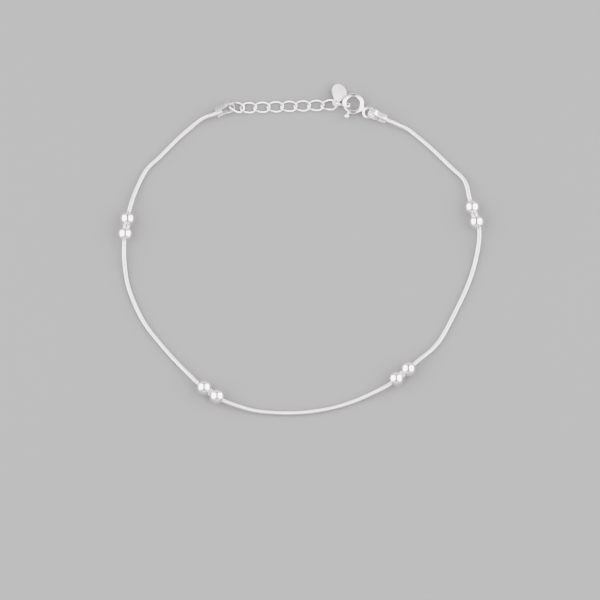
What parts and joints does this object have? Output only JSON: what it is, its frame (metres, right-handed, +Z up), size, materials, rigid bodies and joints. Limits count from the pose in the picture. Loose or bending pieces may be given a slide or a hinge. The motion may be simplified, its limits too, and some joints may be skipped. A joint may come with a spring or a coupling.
{
  "type": "anklet",
  "caption": "Silver anklet of round snake chain with paired hollow beads, a short curb extension chain, a small drop tag and a spring ring clasp, lying fastened as one loop.",
  "frame": {"origin": "on the surface the anklet lies on, under the middle of its box", "axes": "+Z up off the surface, +Y from the loop's middle towards the clasp and the curb chain, +X towards the clasp's end of the curb chain"},
  "size_m": [0.0918, 0.0848, 0.0039],
  "materials": {
    "polished_silver": "bright polished silver",
    "chain_silver": "ribbed silver snake chain, lightly softened by wear",
    "satin_silver": "satin stamped silver"
  },
  "bodies": {
    "anklet": {"snake_chain": "chain_silver", "bead_1": "polished_silver", "spacer_ring_1": "polished_silver", "bead_2": "polished_silver", "spacer_ring_2": "polished_silver", "bead_3": "polished_silver", "spacer_ring_3": "polished_silver", "bead_4": "polished_silver", "spacer_ring_4": "polished_silver", "bead_5": "polished_silver", "spacer_ring_5": "polished_silver", "bead_6": "polished_silver", "spacer_ring_6": "polished_silver", "bead_7": "polished_silver", "spacer_ring_7": "polished_silver", "bead_8": "polished_silver", "spacer_ring_8": "polished_silver", "end_cap_left": "polished_silver", "end_cap_right": "polished_silver", "link_0": "polished_silver", "link_1": "polished_silver", "link_2": "polished_silver", "link_3": "polished_silver", "link_4": "polished_silver", "link_5": "polished_silver", "link_6": "polished_silver", "link_7": "polished_silver", "link_8": "polished_silver", "tag": "satin_silver", "clasp_body": "polished_silver"},
    "bolt": {"clasp_bolt": "polished_silver"}
  },
  "joints": [
    {"name": "bolt_slide_round", "type": "hinge", "parent": "anklet", "child": "bolt", "pos_m": [0.0131, 0.03719, 0.00144], "axis": [0, 0, 1], "range_deg": [0, 48], "stiffness_Nm_per_rad": 0.0016}
  ]
}
